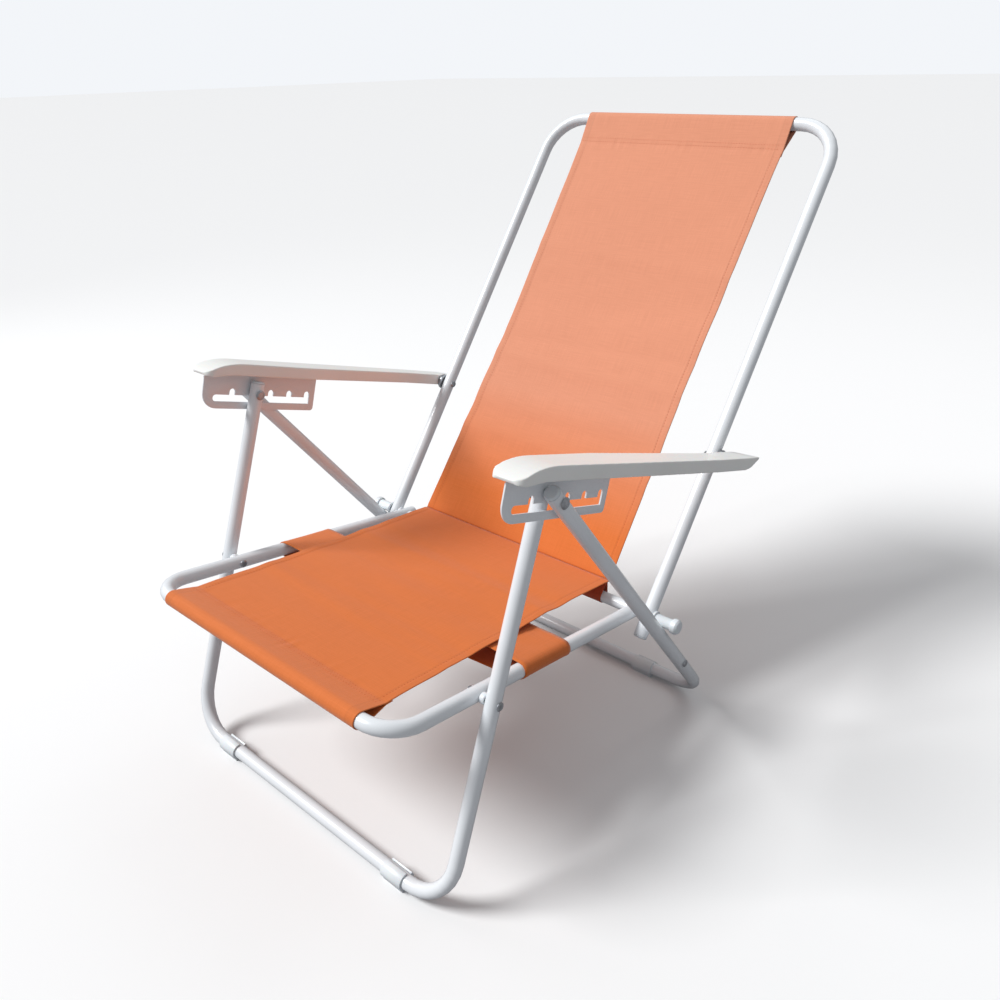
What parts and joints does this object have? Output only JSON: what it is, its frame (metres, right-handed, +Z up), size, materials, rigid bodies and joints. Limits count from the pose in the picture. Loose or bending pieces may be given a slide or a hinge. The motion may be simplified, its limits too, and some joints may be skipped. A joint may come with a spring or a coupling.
{
  "type": "folding beach chair",
  "caption": "Low folding beach chair: bent steel tube frames, fabric sling seat and back, and moulded armrests on notched recline plates.",
  "frame": {"origin": "on the ground, under the middle of the chair's width and depth", "axes": "+Z up, the chair faces -Y, +X to the right for someone who faces the chair's front"},
  "size_m": [0.614, 0.9168, 0.8154],
  "materials": {
    "painted_steel": "gloss white powder coat",
    "armrest_plastic": "satin moulded plastic",
    "white_plastic": "satin moulded plastic",
    "fastener_steel": "zinc plated steel",
    "sling_fabric": "plain woven polyester, orange"
  },
  "bodies": {
    "front_legs": {"front_leg_frame": "painted_steel", "front_leg_plug_right": "white_plastic", "front_leg_plug_left": "white_plastic", "front_leg_pin_right": "fastener_steel", "front_leg_pin_left": "fastener_steel", "seat_pivot_rivet_right": "fastener_steel", "seat_pivot_rivet_left": "fastener_steel", "seat_pivot_spacer_right": "white_plastic", "seat_pivot_spacer_left": "white_plastic", "front_foot_right": "white_plastic", "front_foot_left": "white_plastic"},
    "rear_legs": {"rear_leg_frame": "painted_steel", "rear_leg_plug_right": "white_plastic", "rear_leg_plug_left": "white_plastic", "rear_leg_pin_right": "fastener_steel", "rear_leg_pin_left": "fastener_steel", "rear_leg_rivet_right": "fastener_steel", "rear_leg_rivet_left": "fastener_steel", "rear_foot_right": "white_plastic", "rear_foot_left": "white_plastic"},
    "seat": {"seat_frame": "painted_steel", "seat_frame_plug_right": "white_plastic", "seat_frame_plug_left": "white_plastic", "seat_sling": "sling_fabric", "under_seat_strap": "sling_fabric"},
    "crossbar": {"crossbar_rod": "fastener_steel", "crossbar_spacer_tube": "painted_steel", "crossbar_washer_right": "white_plastic", "crossbar_washer_left": "white_plastic", "crossbar_guide_sleeve_right": "white_plastic", "crossbar_guide_sleeve_left": "white_plastic", "crossbar_end_cap_right": "white_plastic", "crossbar_end_cap_left": "white_plastic", "crossbar_cloth_loop": "sling_fabric"},
    "back": {"back_frame": "painted_steel", "back_frame_plug_right": "white_plastic", "back_frame_plug_left": "white_plastic", "back_sling": "sling_fabric"},
    "arm_pivot_right": {"arm_pivot_rivet_right": "fastener_steel", "arm_pivot_washer_right": "fastener_steel"},
    "arm_right": {"armrest_right": "armrest_plastic", "notched_plate_right": "painted_steel", "plate_screw_front_right": "fastener_steel", "plate_screw_rear_right": "fastener_steel"},
    "arm_pivot_left": {"arm_pivot_rivet_left": "fastener_steel", "arm_pivot_washer_left": "fastener_steel"},
    "arm_left": {"armrest_left": "armrest_plastic", "notched_plate_left": "painted_steel", "plate_screw_front_left": "fastener_steel", "plate_screw_rear_left": "fastener_steel"}
  },
  "joints": [
    {"name": "fold", "type": "hinge", "parent": "front_legs", "child": "seat", "pos_m": [0, -0.31871, 0.25965], "axis": [-1, 0, 0], "range_deg": [0, 92]},
    {"name": "rear_leg_swing", "type": "hinge", "parent": "front_legs", "child": "rear_legs", "pos_m": [0, -0.23427, 0.48431], "axis": [-1, 0, 0], "range_deg": [0, 60.73]},
    {"name": "crossbar_turn", "type": "hinge", "parent": "seat", "child": "crossbar", "pos_m": [0, 0.00232, 0.20901], "axis": [1, 0, 0], "range_deg": [0, 80.05]},
    {"name": "recline", "type": "hinge", "parent": "crossbar", "child": "back", "pos_m": [0, 0.00232, 0.20901], "axis": [1, 0, 0], "range_deg": [-8.6, 23.9]},
    {"name": "arm_swing_right", "type": "hinge", "parent": "back", "child": "arm_pivot_right", "pos_m": [0, 0.1442, 0.39885], "axis": [-1, 0, 0], "range_deg": [0, 77.29]},
    {"name": "arm_tilt_right", "type": "hinge", "parent": "arm_pivot_right", "child": "arm_right", "pos_m": [0, 0.1442, 0.39885], "axis": [-1, 0, 0], "range_deg": [-7.41, 20.56]},
    {"name": "arm_swing_left", "type": "hinge", "parent": "back", "child": "arm_pivot_left", "pos_m": [0, 0.1442, 0.39885], "axis": [-1, 0, 0], "range_deg": [0, 77.29]},
    {"name": "arm_tilt_left", "type": "hinge", "parent": "arm_pivot_left", "child": "arm_left", "pos_m": [0, 0.1442, 0.39885], "axis": [-1, 0, 0], "range_deg": [-7.41, 20.56]}
  ],
  "couplings": [
    {"joint": "rear_leg_swing", "follows": "fold", "ratio": 0.66},
    {"joint": "crossbar_turn", "follows": "fold", "ratio": 0.87},
    {"joint": "arm_swing_right", "follows": "fold", "ratio": 0.84},
    {"joint": "arm_tilt_right", "follows": "recline", "ratio": 0.86},
    {"joint": "arm_swing_left", "follows": "fold", "ratio": 0.84},
    {"joint": "arm_tilt_left", "follows": "recline", "ratio": 0.86}
  ]
}
